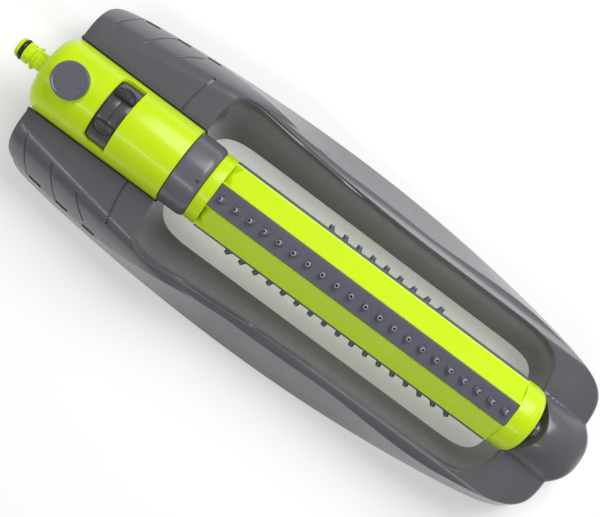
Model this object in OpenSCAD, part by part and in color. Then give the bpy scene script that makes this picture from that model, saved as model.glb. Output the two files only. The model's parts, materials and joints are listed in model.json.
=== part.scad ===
// Oscillating lawn sprinkler: a grey sled base carries a water motor barrel and
// a turning spray bar with four nozzle rows. Millimetres, +Z up, X along the bar,
// hose inlet at -X. The origin is at the middle of the footprint, on the ground.

/* [Spray bar] */
// Length of each nozzle strip
strip_len = 254.5; // [200:0.5:320]
// Width of each nozzle strip
strip_w = 18; // [14:0.5:20]
// Distance from the bar's axis to the seats under the strips
seat_r = 25; // [20:0.1:30]
// How far each strip stands out of its seat
strip_proud = 2; // [1:0.1:3]
// Distance between neighbouring nozzles
nozzle_pitch = 12; // [9:0.1:15]
// Outer diameter of a nozzle
nozzle_d = 3.8; // [3:0.1:5]
// Water hole in a nozzle
nozzle_hole_d = 1.5; // [0.8:0.1:2]
// Height of a nozzle over its strip
nozzle_h = 4; // [2:0.25:6]
// Outward lean of a nozzle for each millimetre from the bar's middle, degrees
nozzle_lean = 0.3; // [0:0.02:0.35]
// Length of the bar's rear flange
flange_len = 9.7; // [6:0.1:13]
// Length of the cap on the bar's far end
cap_len = 18.4; // [12:0.2:24]
// How far the end cap stands out past the strip seats
cap_over = 1.5; // [0.5:0.1:3]
// Turn of the bar at rest about its own axis, degrees
bar_rest_angle = 6; // [-20:1:20]

/* [Head] */
// Length of the barrel
barrel_len = 111.2; // [105:0.1:150]
// Outer radius of the barrel
barrel_r = 29.5; // [27:0.1:36]
// Wall of the barrel
barrel_wall = 2.4; // [1.8:0.1:3]
// Length of the collar between barrel and bar
collar_len = 21.3; // [17:0.1:28]
// Outer radius of the collar
collar_r = 28.6; // [26:0.1:35]
// Length of the range window along the barrel
window_len = 17.4; // [14:0.1:22]
// Half of the angle that the range window spans
window_half_angle = 59; // [45:1:65]
// Diameter of the flow knob
knob_d = 26.4; // [20:0.2:32]
// Height of the flow knob
knob_h = 6; // [4:0.5:10]
// Diameter of the hose nipple's body
nipple_d = 15.5; // [15:0.1:16]
// Length of the hose nipple behind the barrel
nipple_len = 25.2; // [20:0.1:32]

/* [Base] */
// Height of the bar's axis over the ground
axis_h = 48; // [40:0.5:60]
// Half of the base's width at its widest
base_half_w = 87; // [72:0.5:110]
// Wall of the base shell
base_wall = 2.6; // [2:0.1:4]
// Half width of the opening at the ground
opening_half_w = 43.5; // [38:0.5:50]
// Half width of the opening's upper rim beside the bar
rim_half_w = 58.5; // [54:0.5:66]
// Length of the base in front of the spray bar
nose_len = 62.4; // [52:0.1:80]

/* [Water motor] */
// Module of the gear teeth
gear_module = 0.5; // [0.45:0.01:0.52]
// Teeth on each pinion
pinion_teeth = 12; // [12:1:12]
// Teeth on each large wheel
wheel_teeth = 36; // [36:1:36]
// Radius of the gear pins
gear_pin_r = 1.2; // [1:0.05:1.4]
// Radius of the output shaft
shaft_r = 8; // [7:0.1:9.6]

/* [Fits] */
// Radial clearance of a shaft that turns in a hole
run_fit = 0.06; // [0.02:0.01:0.09]
// Clearance between pieces that move past each other
move_gap = 0.3; // [0.2:0.05:0.6]
// Clearance under the barrel in its cradle
cradle_gap = 0.15; // [0.05:0.05:0.4]
// Clearance on each side of a strip in its seat
seat_gap = 0.05; // [0:0.01:0.2]

/* [Hidden] */
$fn = 64;

lime = "#BDEB23";
grey = "#6C6C74";
dark = "#4A4A50";
black = "#161616";
steel = "#B8BABD";
white = "#E6E6E2";

// ---- stations along X, counted from the middle of the nozzle strips ----
bar_end = strip_len / 2;
drum_rear = -bar_end - flange_len;
collar_front = drum_rear - move_gap;
collar_rear = collar_front - collar_len;
barrel_front = collar_rear - move_gap;
barrel_rear = barrel_front - barrel_len;
nipple_tip = barrel_rear - nipple_len;
cap_end = bar_end + cap_len;
cap_r = seat_r + cap_over;
nose_tip = cap_end + nose_len;
// the footprint's middle goes to X = 0
shift_x = -(nose_tip + nipple_tip) / 2;

knob_x = barrel_rear + 23.7;   // middle of the flow knob
window_x = knob_x + 33.1;      // middle of the range window
bore_r = barrel_r - barrel_wall;

// ---- base outline ----
waist_x = -50;             // the widest place
shoulder = base_half_w - rim_half_w;
rim_flare = 0.35 * shoulder;  // how much wider the rim is at the head
side_inset = 0.158 * shoulder;
waist_inset = 0.526 * shoulder;
crease_roll = 0.35 * shoulder;
front_bulge = 1250;        // radius of the side's sweep ahead of the waist
rear_bulge = 1500;         // radius of the side's sweep behind the waist
rear_x = barrel_rear + 3;
lobe_len = 11;             // how far the nose lobe stands out
lobe_half_w = 31;
nose_x = nose_tip - lobe_len;
front_pole = bar_end - 37; // the front end's stations fan out round here
rear_pole = barrel_front + 48.8;
rim_front = cap_end - 1.5;
rim_rear = barrel_front + 0.3;
ground_front = cap_end;
ground_rear = barrel_front + 1.3;
recess_len = 13;           // the rim steps back round the end cap
recess_half_w = cap_r + 0.5;
wing_crest_rear = barrel_r + 7.5;   // half width of the level part of the wings
wing_crest_front = base_half_w - 25;
wing_crest_x = barrel_front + 21.8;
wing_edge = 4;             // the roll ends this far inside the footprint
wing_h = axis_h + 4;       // top of the wings beside the barrel
arm_h = axis_h - 3;        // rim of the arms
crease_h = axis_h - 8;     // edge between an arm's top and its outer wall
wing_drop = 28;
vault_h = 17;              // the nose vault over the shoulders
vault_half_w = cap_r - 0.5;
vault_rise = 12;           // the ridge is level this far ahead of the cap
fan_steps = 22;            // stations in a quarter turn
arm_steps = 12;            // stations along an arm

function clamp01(v) = max(0, min(1, v));
function ease(a, b, x) = let (t = clamp01((x - a) / (b - a))) t * t * (3 - 2 * t);
function mix(a, b, t) = a + (b - a) * t;

function half_w(x) =
  base_half_w - pow(x - waist_x, 2) / (2 * (x > waist_x ? front_bulge : rear_bulge));
function rim_w(x) =
  rim_half_w + rim_flare * pow(clamp01((12 - x) / (12 - rim_rear)), 1.5);
// the arms' outer wall leans in from the ground to the crease
function crease_inset(x) =
  side_inset + waist_inset * ease(-190, -60, x) * (1 - 0.7 * ease(0, 120, x));
function nose_bump(y) = lobe_len * max(0, 1 - pow(y / lobe_half_w, 2));
function recess(y) = recess_len * max(0, 1 - pow(y / recess_half_w, 2));

// a superellipse in polar form: reach a along X, b along Y, squareness n
function reach(f, a, b, n) =
  pow(pow(abs(cos(f)) / a, n) + pow(abs(sin(f)) / b, n), -1 / n);
// one point of a closed outline, in direction f from the pole
function fan(pole, f, a, b, n, sign_y) =
  let (r = reach(f, a, b, n)) [pole + r * cos(f), sign_y * r * abs(sin(f))];

// the four rails of a station as [x, y]: inner ground, rim, crease, outer ground
function front_rails(f) =
  let (
    s = f < 0 ? -1 : 1,
    g = fan(front_pole, f, ground_front - front_pole, opening_half_w, 5.5, s),
    m = fan(front_pole, f, rim_front - front_pole, rim_w(front_pole), 4.5, s),
    c = fan(front_pole, f, nose_x - front_pole - 11,
            half_w(front_pole) - crease_inset(front_pole), 6.6, s),
    o = fan(front_pole, f, nose_x - front_pole, half_w(front_pole), 7, s)
  )
  [
    g,
    [m[0] + recess(m[1]), m[1]],
    [c[0] + nose_bump(c[1]),
     c[1] * (half_w(c[0]) - crease_inset(c[0])) / (half_w(front_pole) - crease_inset(front_pole))],
    [o[0] + nose_bump(o[1]), o[1] * half_w(o[0]) / half_w(front_pole)]
  ];
function rear_rails(f) =
  let (
    s = sin(f) < 0 ? -1 : 1,
    g = fan(rear_pole, f, rear_pole - ground_rear, opening_half_w, 4, s),
    m = fan(rear_pole, f, rear_pole - rim_rear, rim_w(rear_pole), 6, s),
    c = fan(rear_pole, f, rear_pole - rear_x - 2.5,
            half_w(rear_pole) - crease_inset(rear_pole), 18, s),
    o = fan(rear_pole, f, rear_pole - rear_x, half_w(rear_pole), 18, s)
  )
  [
    g,
    [m[0], m[1] * rim_w(m[0]) / rim_w(rear_pole)],
    [c[0], c[1] * (half_w(c[0]) - crease_inset(c[0])) / (half_w(rear_pole) - crease_inset(rear_pole))],
    [o[0], o[1] * half_w(o[0]) / half_w(rear_pole)]
  ];
function arm_rails(x, s) = [
  [x, s * opening_half_w], [x, s * rim_w(x)],
  [x, s * (half_w(x) - crease_inset(x))], [x, s * half_w(x)]
];

// height of the top surface
function wing_z(x, y) =
  let (
    crest = mix(wing_crest_rear, wing_crest_front,
                clamp01((x - rear_x) / (wing_crest_x - rear_x))),
    edge = half_w(x) - wing_edge,
    s = clamp01((abs(y) - crest) / (edge - crest))
  )
  wing_h - wing_drop * pow(s, 1.8);
function arm_z(y) =
  arm_h - (arm_h - crease_h) * pow(clamp01((abs(y) - rim_half_w) / crease_roll), 1.5);
function vault_z(x, y) =
  let (x0 = cap_end + vault_rise)
  vault_h * max(0, 1 - pow(y / vault_half_w, 2))
  * sqrt(max(0, 1 - pow(clamp01((x - x0) / (nose_tip - 10 - x0)), 2)))
  * ease(bar_end - 10, cap_end + 4, x);
function top_z(x, y) =
  mix(wing_z(x, y), arm_z(y), ease(-165, -60, x)) + vault_z(x, y)
  - 4 * ease(cap_end + 15, nose_x, x);

// one station's outer skin from the inner ground edge over the top to the outer ground edge
function skin(rails) =
  let (
    g = rails[0], m = rails[1], c = rails[2], o = rails[3],
    zm = top_z(m[0], m[1]), zc = top_z(c[0], c[1])
  )
  concat(
    [[g[0], g[1], 0]],
    [for (t = [0.3, 0.6, 0.86]) let (p = mix(g, m, t * 0.97)) [p[0], p[1], zm * t]],
    [let (p = mix(g, m, 0.985)) [p[0], p[1], zm - 1.2]],
    [for (t = [0.06, 0.3, 0.55, 0.8]) let (p = mix(m, c, t)) [p[0], p[1], top_z(p[0], p[1])]],
    [[c[0], c[1], zc]],
    [for (t = [0.35, 0.7]) let (p = mix(c, o, t)) [p[0], p[1], zc * (1 - t)]],
    [[o[0], o[1], 0]]
  );

function unit(v) = v / norm(v);
// the same station's inner skin, one wall inside the outer one
function lining(pts) =
  let (
    n = len(pts) - 1,
    across = unit([pts[n][0] - pts[0][0], pts[n][1] - pts[0][1], 0])
  )
  [for (i = [0 : n])
    let (
      a = pts[max(0, i - 1)], b = pts[min(n, i + 1)],
      r = across * (b - a), h = b[2] - a[2],
      l = norm([r, h]),
      inward = across * (h / l) + [0, 0, -r / l],
      p = pts[i] + base_wall * inward
    )
    i == 0 ? pts[0] + base_wall * (l / h) * across
    : i == n ? pts[n] - base_wall * (l / abs(h)) * across
    : [p[0], p[1], max(0.8, p[2])]
  ];

stations = concat(
  [for (i = [0 : 2 * fan_steps]) front_rails(-90 + 90 * i / fan_steps)],
  [for (i = [1 : arm_steps - 1]) arm_rails(mix(front_pole, rear_pole, i / arm_steps), 1)],
  [for (i = [0 : 2 * fan_steps]) rear_rails(90 + 90 * i / fan_steps)],
  [for (i = [1 : arm_steps - 1]) arm_rails(mix(rear_pole, front_pole, i / arm_steps), -1)]
);

module shell() {
  loops = [for (s = stations) let (p = skin(s), q = lining(p), n = len(p))
    concat(p, [for (i = [n - 1 : -1 : 0]) q[i]])];
  k = len(loops[0]);
  n = len(loops);
  polyhedron(
    points = [for (l = loops) for (p = l) p],
    faces = [for (i = [0 : n - 1]) for (j = [0 : k - 1])
      let (
        a = i * k + j, b = i * k + (j + 1) % k,
        c = ((i + 1) % n) * k + (j + 1) % k, d = ((i + 1) % n) * k + j
      )
      each [[a, c, b], [a, d, c]]],
    convexity = 8
  );
}

// ---- placing ----
module along_x(x) { translate([x, 0, 0]) rotate([0, 90, 0]) children(); }
module on_axis() { translate([shift_x, 0, axis_h]) children(); }
module on_bar() { on_axis() rotate([bar_rest_angle, 0, 0]) children(); }
module tube(x0, x1, r_out, r_in) {
  along_x(x0) difference() {
    cylinder(r = r_out, h = x1 - x0);
    translate([0, 0, -1]) cylinder(r = r_in, h = x1 - x0 + 2);
  }
}
module rod(x0, x1, r) { along_x(x0) cylinder(r = r, h = x1 - x0); }
module ring(x, r_mid, r_wire) {
  along_x(x) rotate_extrude() translate([r_mid, 0]) circle(r = r_wire, $fn = 24);
}
// a slice of a tube round the X axis; angles run from +Z towards +Y
module sector(x0, x1, r_out, r_in, a0, a1) {
  translate([x0, 0, 0]) rotate([90, 0, 90])
    rotate([0, 0, 90 - a1]) rotate_extrude(angle = a1 - a0)
      translate([r_in, 0]) square([r_out - r_in, x1 - x0]);
}

// ---- base ----
screw_r = 1.45;
screw_spots = [for (x = [barrel_rear + 22, barrel_front - 9.6], y = [-15, 15]) [x, y]];
screw_hole_r = screw_r + 0.15;
screw_boss_r = 4;
screw_seat_z = axis_h - barrel_r - 6.5;   // under the heads
screw_len = 19;
tail_pin_r = 3;
tail_boss_r = 7;
tail_boss_x = cap_end + 7;
tail_boss_len = 22;
pin_end = tail_boss_x + tail_boss_len - 4;

module base_frame() {
  color(grey) translate([shift_x, 0, 0]) difference() {
    union() {
      shell();
      difference() {
        translate([0, 0, axis_h])
          rod(rear_x + 1.5, barrel_front - 4, barrel_r + cradle_gap + base_wall);
        translate([rear_x, -2 * barrel_r, wing_h - 1.5]) cube([barrel_len, 4 * barrel_r, 2 * barrel_r]);
      }
      translate([0, 0, axis_h]) rod(tail_boss_x, tail_boss_x + tail_boss_len, tail_boss_r);
      for (s = screw_spots)
        translate([s[0], s[1], screw_seat_z]) cylinder(r = screw_boss_r, h = 14);
    }
    translate([0, 0, axis_h]) rod(rear_x - 20, barrel_front + 20, barrel_r + cradle_gap);
    translate([0, 0, axis_h]) rod(cap_end - 1, pin_end, tail_pin_r);
    for (s = screw_spots) translate([s[0], s[1], 0]) cylinder(r = screw_hole_r, h = axis_h);
  }
}

// ---- barrel ----
shoulder_r = 11;
inner_shoulder_r = shoulder_r - 2;
bush_r = 9;           // spigot of the hose nipple in the barrel's rear wall
knob_boss_r = knob_d / 2 + 0.4;
knob_seat_z = barrel_r + 2.2;
stem_r = 5;
stem_reach = 3;       // how far the stem goes up into the knob
fairing_len = 3.4;    // cone ahead of the nipple's neck
shoulder_steps = 8;

module barrel_housing() {
  color(lime) on_axis() difference() {
    union() {
      along_x(barrel_rear) rotate_extrude() polygon(concat(
        [[0, 0], [barrel_r - shoulder_r, 0]],
        [for (i = [1 : shoulder_steps]) let (a = 90 * i / shoulder_steps)
          [barrel_r - shoulder_r + shoulder_r * sin(a), shoulder_r * (1 - cos(a))]],
        [[barrel_r, barrel_len], [0, barrel_len]]));
      // cone that fairs the nipple into the rear wall
      along_x(barrel_rear - fairing_len) cylinder(r1 = bush_r + 0.2, r2 = bush_r + 4, h = fairing_len + 0.6);
      translate([knob_x, 0, 0]) cylinder(r = knob_boss_r, h = knob_seat_z - move_gap);
    }
    // hollow, with its own rounded rear, that leaves the two screw bosses standing
    difference() {
      along_x(barrel_rear + barrel_wall) rotate_extrude() polygon(concat(
        [[0, 0], [bore_r - inner_shoulder_r, 0]],
        [for (i = [1 : shoulder_steps]) let (a = 90 * i / shoulder_steps)
          [bore_r - inner_shoulder_r * (1 - sin(a)), inner_shoulder_r * (1 - cos(a))]],
        [[bore_r, barrel_len], [0, barrel_len]]));
      for (s = screw_spots) if (s[0] < window_x)
        translate([s[0], s[1], -barrel_r]) cylinder(r = 3.6, h = 15);
    }
    rod(barrel_rear - 5, barrel_rear + 5, bush_r);
    translate([knob_x, 0, 0]) cylinder(r = stem_r + run_fit, h = knob_seat_z + 1);
    sector(window_x - window_len / 2, window_x + window_len / 2, barrel_r + 2, bore_r - 2,
           -window_half_angle, window_half_angle);
    for (s = screw_spots)
      translate([s[0], s[1], -barrel_r])
        cylinder(r = s[0] > window_x ? screw_hole_r : screw_r, h = 13.5);
  }
}

// ---- hose inlet ----
tip_r = 7.3;
o_ring_wire_r = 1.35;
o_ring_x = nipple_tip + 4.3;
o_ring_mid_r = nipple_d / 2 - 1.2;
nipple_bore_r = 5;
spigot_end = barrel_rear + 11;

module inlet_nipple() {
  r = nipple_d / 2;
  groove_r = o_ring_mid_r - o_ring_wire_r;
  color(lime) on_axis() difference() {
    along_x(nipple_tip) rotate_extrude() polygon([
      [nipple_bore_r, 0], [tip_r - 0.8, 0], [tip_r, 0.8], [tip_r, 2.6], [groove_r, 2.6],
      [groove_r, 6], [r - 0.3, 6], [r, 6.4], [r, 10.2], [r - 1.4, 11], [r - 1.4, 12.8],
      [r + 1, 13.4], [r + 1, 15], [r - 0.9, 15.4], [r - 0.9, nipple_len - fairing_len],
      [bush_r, nipple_len - fairing_len + 0.2], [bush_r, spigot_end - nipple_tip],
      [nipple_bore_r, spigot_end - nipple_tip]]);
    // seat that stops the filter's flange
    rod(nipple_tip - 1, nipple_tip + 2, nipple_bore_r + 0.8);
  }
}
module inlet_o_ring() { color(black) on_axis() ring(o_ring_x, o_ring_mid_r, o_ring_wire_r); }
module inlet_filter() {
  r = nipple_bore_r - 0.1;
  color(white) on_axis() {
    difference() {
      union() {
        rod(nipple_tip + 0.8, nipple_tip + 2, nipple_bore_r + 0.7);
        rod(nipple_tip + 0.8, nipple_tip + 18, r - 0.6);
      }
      rod(nipple_tip, nipple_tip + 17, r - 1.6);
      for (i = [0 : 3], a = [0 : 60 : 120])
        translate([nipple_tip + 4.5 + 3.2 * i, 0, 0]) rotate([a, 0, 0])
          cube([2, 2, 12], center = true);
    }
  }
}

// ---- flow valve ----
valve_rear = spigot_end;
valve_front = knob_x + 15;
valve_r = 14;
valve_neck_r = 10.5;
plug_r = 7;
plug_bore_r = 4.2;
plug_low = -10.5;
plug_high = 16;
plug_seal_z = 10;     // groove of the plug's seal
plug_seal_r = 0.8;

module valve_body() {
  color(dark) on_axis() difference() {
    union() {
      rod(valve_rear, valve_front, valve_r);
      translate([knob_x, 0, 0]) cylinder(r = valve_neck_r, h = bore_r - 2.5);
    }
    rod(valve_rear - 1, valve_front + 1, plug_bore_r);
    translate([knob_x, 0, plug_low - 0.5]) cylinder(r = plug_r + run_fit, h = 2 * barrel_r);
  }
}
module valve_plug() {
  color(white) on_axis() difference() {
    union() {
      translate([knob_x, 0, plug_low]) cylinder(r = plug_r, h = plug_high - plug_low);
      translate([knob_x, 0, plug_high - 0.5])
        cylinder(r = stem_r, h = knob_seat_z + stem_reach - plug_high + 0.5);
    }
    rod(knob_x - valve_r, knob_x + valve_r, plug_bore_r);
    // groove for the seal
    translate([knob_x, 0, plug_seal_z]) difference() {
      cylinder(r = plug_r + 1, h = 3 * plug_seal_r);
      translate([0, 0, -1]) cylinder(r = plug_r - 2 * plug_seal_r, h = 5);
    }
  }
}
module plug_o_ring() {
  color(black) on_axis() translate([knob_x, 0, plug_seal_z + 1.5 * plug_seal_r])
    rotate_extrude() translate([plug_r - plug_seal_r, 0]) circle(r = plug_seal_r, $fn = 24);
}
module flow_knob() {
  r = knob_d / 2;
  color(grey) on_axis() translate([knob_x, 0, knob_seat_z]) difference() {
    rotate_extrude() polygon([[0, 0], [r - 0.4, 0], [r, 0.4], [r, knob_h - 1.6],
      [r - 0.5, knob_h - 0.5], [r - 1.6, knob_h], [0, knob_h]]);
    translate([0, 0, -1]) cylinder(r = stem_r, h = stem_reach + 1);
  }
}

// ---- water motor ----
case_r = bore_r - 3.1 - run_fit;   // the range rings turn on it
jet_plate_len = 3.6;
case_wall = 1.2;
jet_x = valve_front + 5.7;      // rear face of the jet plate
turbine_x = jet_x + 5;
turbine_len = 7;
stage_x = turbine_x + turbine_len + 1;
stage_len = 5;
wheel_len = 3.6;
gear_gap = gear_module * (pinion_teeth + wheel_teeth) / 2;
pinion_pitch_r = gear_module * pinion_teeth / 2;
bearing_len = 12;
bearing_front = barrel_front - 1.5;
case_front = bearing_front - bearing_len;
case_end_wall = 2.4;
shaft_bore_r = shaft_r - 3;
seal_r = shaft_r + 2.2;
seal_len = 2.2;
stage_gap = 0.4;      // between a wheel and the piece behind it

function inv(a) = tan(a) * 180 / PI - a;
// a true involute gear in a plane, with a tooth on +X at phase 0
module gear_2d(teeth) {
  pressure = 25;
  r = gear_module * teeth / 2;
  base_r = r * cos(pressure);
  tip = r + 0.95 * gear_module;
  root = r - 1.25 * gear_module;
  half = 90 / teeth - 1.6 / r;   // the second term is backlash
  low = max(base_r, root + 0.05);
  flank = [for (i = [0 : 4]) let (q = low + (tip - low) * i / 4,
    a = half + inv(pressure) - inv(acos(min(1, base_r / q)))) [q, a]];
  polygon([for (t = [0 : teeth - 1]) let (c = 360 * t / teeth) each concat(
    [root * [cos(c - 180 / teeth), sin(c - 180 / teeth)]],
    [root * [cos(c - flank[0][1] - 0.8), sin(c - flank[0][1] - 0.8)]],
    [for (f = flank) f[0] * [cos(c - f[1]), sin(c - f[1])]],
    [for (i = [4 : -1 : 0]) flank[i][0] * [cos(c + flank[i][1]), sin(c + flank[i][1])]],
    [root * [cos(c + flank[0][1] + 0.8), sin(c + flank[0][1] + 0.8)]])]);
}
// a gear on its own shaft at y; phase is measured from +Y
module gear(x, len, y, teeth, phase) {
  translate([x, y, 0]) rotate([0, 90, 0]) rotate([0, 0, 90 + phase])
    linear_extrude(len) gear_2d(teeth);
}
half_tooth = 180 / wheel_teeth;

flap_pivot_r = 1.8;
flap_t = 2.4;
flap_x = jet_x - flap_t - 0.6;
spring_t = 0.9;
module jet_plate() {
  color(dark) on_axis() difference() {
    union() {
      rod(jet_x, jet_x + jet_plate_len, case_r);
      for (y = [-gear_gap, 0, gear_gap]) translate([0, y, 0]) rod(jet_x, jet_x + 4.4, 2.8);
      // pivot of the reversing flap
      rod(jet_x - 3.6, jet_x + 1, flap_pivot_r);
    }
    for (y = [-gear_gap, 0, gear_gap]) translate([0, y, 0]) rod(jet_x + 0.6, jet_x + 6, gear_pin_r);
    // two jets that drive the turbine one way or the other
    for (s = [-1, 1]) translate([0, gear_gap, 6.2 * s]) rod(jet_x - 1, jet_x + 6, 1.6);
  }
}
module reversing_flap() {
  color(white) on_axis() difference() {
    union() {
      rod(flap_x, flap_x + flap_t, 5);
      sector(flap_x, flap_x + flap_t, gear_gap + 6, 4, 60, 120);
      sector(flap_x, flap_x + flap_t, 10, 4, -110, -70);
    }
    rod(flap_x - 1, flap_x + 4, flap_pivot_r + run_fit);
    for (s = [-1, 1]) translate([0, gear_gap, 3.1 * s]) rod(flap_x - 1, flap_x + 4, 1.4);
  }
}
module toggle_spring() {
  color(steel) on_axis() translate([flap_x - spring_t, 0, 0]) {
    tube(0, spring_t, 3.2, flap_pivot_r + 0.4);
    sector(0, spring_t, 8.4, 7.6, -130, -50);
    translate([0, -8, -0.4]) cube([spring_t, 5.3, 0.8]);
  }
}
module gear_pins() {
  color(steel) on_axis() {
    translate([0, gear_gap, 0]) rod(jet_x + 0.6, stage_x + stage_len + 1, gear_pin_r);
    rod(jet_x + 0.6, stage_x + 2 * stage_len + 0.6, gear_pin_r);
    translate([0, -gear_gap, 0]) rod(jet_x + 0.6, stage_x + 3 * stage_len + 2, gear_pin_r);
  }
}
module turbine_wheel() {
  color(white) on_axis() difference() {
    union() {
      translate([0, gear_gap, 0]) {
        rod(turbine_x, turbine_x + turbine_len, 3);
        for (a = [0 : 45 : 315]) rotate([a, 0, 0])
          translate([turbine_x, -0.45, 2.5]) cube([turbine_len, 0.9, 6.2]);
        tube(turbine_x + turbine_len - 1, turbine_x + turbine_len, 8.7, 2.5);
      }
      gear(turbine_x + turbine_len - 0.5, stage_len + 0.5, gear_gap, pinion_teeth, 180);
    }
    translate([0, gear_gap, 0]) rod(jet_x, stage_x + 20, gear_pin_r + run_fit);
  }
}
// compound gear on the axis: a wheel driven by the turbine, and its pinion
module idler_gear() {
  color(white) on_axis() difference() {
    union() {
      gear(stage_x + stage_gap, wheel_len, 0, wheel_teeth, half_tooth);
      gear(stage_x + stage_gap, stage_len + wheel_len, 0, pinion_teeth, 180);
    }
    rod(jet_x, stage_x + 30, gear_pin_r + run_fit);
  }
}
module reduction_gear() {
  x = stage_x + stage_gap + stage_len;
  color(white) on_axis() difference() {
    union() {
      gear(x, wheel_len, -gear_gap, wheel_teeth, half_tooth);
      gear(x, stage_len + wheel_len, -gear_gap, pinion_teeth, 0);
    }
    translate([0, -gear_gap, 0]) rod(jet_x, stage_x + 40, gear_pin_r + run_fit);
  }
}
output_x = stage_x + stage_gap + 2 * stage_len;
hub_len = 9;
hub_r = gear_gap - pinion_pitch_r - gear_module - 1.3;   // clears the last pinion
drum_spigot_len = 6;
key_half_t = 2;       // key between shaft and collar
key_out = 1.5;
key_x = collar_rear + 3;
key_len = collar_front - drum_spigot_len - 2.8 - key_x;
module output_gear() {
  color(white) on_axis() difference() {
    union() {
      gear(output_x, wheel_len, 0, wheel_teeth, 180 + half_tooth);
      rod(output_x, output_x + hub_len, hub_r);
    }
    rod(output_x + 2, output_x + hub_len + 1, hub_r - 2.2);
    rod(output_x - 1, output_x + hub_len + 1, gear_pin_r + 0.8);
  }
}
module output_shaft() {
  color(dark) on_axis() difference() {
    union() {
      rod(output_x + hub_len, collar_front - drum_spigot_len - 1, shaft_r);
      // flat-sided key that drives the collar
      translate([key_x, -shaft_r - key_out, -key_half_t])
        cube([key_len, 2 * (shaft_r + key_out), 2 * key_half_t]);
    }
    rod(output_x, collar_front, shaft_bore_r);
    for (a = [0, 90]) rotate([a, 0, 0])
      translate([output_x + hub_len + 4, 0, 0]) cube([3, 2, 3 * shaft_r], center = true);
  }
}
module gear_case() {
  color(dark) on_axis() difference() {
    rod(jet_x + jet_plate_len, case_front, case_r);
    rod(jet_x + jet_plate_len - 0.6, case_front - case_end_wall, case_r - case_wall);
    rod(case_front - 10, case_front + 1, shaft_r + run_fit);
    // water ways through the end wall
    for (a = [0 : 60 : 300]) rotate([a, 0, 0])
      translate([0, 0, (case_r + shaft_r) / 2 - 1]) rod(case_front - 10, case_front + 1, 2);
  }
}
module front_bearing() {
  color(dark) on_axis() difference() {
    rod(case_front, bearing_front, bore_r);
    rod(case_front - 1, bearing_front + 1, shaft_r + run_fit);
    rod(case_front - 1, case_front + seal_len + 0.2, seal_r);
    for (s = screw_spots) if (s[0] > window_x)
      translate([s[0], s[1], -barrel_r]) cylinder(r = screw_r, h = 14);
  }
}
module shaft_seal() {
  color(black) on_axis() tube(case_front, case_front + seal_len, seal_r, shaft_r + run_fit);
}

// ---- range rings ----
ring_in = case_r + run_fit;
ring_mid = bore_r - 1.8;
ring_out = bore_r - 0.3;
ring_play = 0.6;      // each end of the window to the rings
pad_half = 8;
cover_angle = 80;
pad_top = barrel_r + 2.6;
rear_pad_angle = 35;
front_pad_angle = -28;

// side is -1 for the rear ring and 1 for the front one
module range_ring(side, pad_angle) {
  x0 = window_x - window_len / 2 + ring_play;
  x1 = window_x + window_len / 2 - ring_play;
  own0 = side < 0 ? x0 : window_x + move_gap / 2;
  own1 = side < 0 ? window_x - move_gap / 2 : x1;
  out = sign(pad_angle);
  far = pad_angle + out * cover_angle;
  color(dark) on_axis() {
    tube(own0, own1, ring_mid, ring_in);
    // web that joins the ring to its cover and pad
    sector(own0 + 0.1, own1 - 0.1, ring_out - 0.4, ring_mid - 0.5,
           min(pad_angle, far) + 1, max(pad_angle, far) - 1);
    // cover beyond the pad, over both rings
    sector(x0, x1, ring_out, ring_mid + move_gap, min(pad_angle, far), max(pad_angle, far));
    sector(x0 + 0.15, x1 - 0.15, pad_top - 1.6, ring_mid + move_gap + 0.15,
           pad_angle - pad_half, pad_angle + pad_half);
    // five grip ribs
    for (i = [-2 : 2]) let (a = pad_angle + i * pad_half * 0.36)
      sector(x0 + 0.8, x1 - 0.8, pad_top, pad_top - 2.2, a - 0.9, a + 0.9);
  }
}
module rear_range_ring() { range_ring(-1, rear_pad_angle); }
module front_range_ring() { range_ring(1, front_pad_angle); }

// ---- collar ----
port_r = 2.6;
port_at = seat_r - 6.4;
drum_spigot_r = port_at - port_r - 2;
gasket_t = 1.2;
gasket_r = port_r + 1.4;
spring_r = 1.8;
spring_len = 5;
pocket_r = 4.5;

module collar() {
  color(grey) on_bar() difference() {
    along_x(collar_rear) rotate_extrude() polygon([[0, 0], [collar_r - 0.8, 0], [collar_r, 0.8],
      [collar_r, collar_len - 2.6], [collar_r - 1.6, collar_len], [0, collar_len]]);
    rotate([-bar_rest_angle, 0, 0]) {
      rod(collar_rear - 1, collar_front - drum_spigot_len - 1, shaft_r);
      translate([collar_rear - 1, -shaft_r - key_out, -key_half_t])
        cube([key_x + key_len - collar_rear + 1, 2 * (shaft_r + key_out), 2 * key_half_t]);
    }
    rod(collar_front - drum_spigot_len - 0.5, collar_front + 1, drum_spigot_r + run_fit);
    // passage from the shaft to the one open port
    translate([0, 0, port_at]) rod(collar_front - 12, collar_front + 1, port_r);
    translate([collar_front - 10, 0, 0]) cylinder(r = port_r, h = port_at);
    // seats of the gasket and the index spring
    translate([0, 0, port_at]) rod(collar_front - gasket_t, collar_front + 1, gasket_r);
    translate([0, 0, -port_at]) rod(collar_front - spring_len, collar_front + 1, spring_r);
    // moulding pockets in the rear face
    for (a = [60 : 60 : 300]) rotate([a, 0, 0])
      translate([0, 0, (collar_r + shaft_r + 1.4) / 2]) rod(collar_rear - 1, collar_rear + 9, pocket_r);
  }
}
module collar_gasket() {
  color(black) on_bar() translate([0, 0, port_at])
    tube(collar_front - gasket_t, collar_front, gasket_r, port_r);
}
module index_spring() {
  color(steel) on_bar() translate([0, 0, -port_at])
    rod(collar_front - spring_len, collar_front - 0.4, spring_r);
}

// ---- drum ----
facet_r = seat_r - 0.3;
strip_t = 3.4;
strip_floor = seat_r + strip_proud - strip_t;
channel_w = 9;
channel_low = seat_r - 8.6;
core_r = seat_r - 13;
cap_spigot_r = cap_r - 4;
cap_spigot_len = 8;
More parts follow.
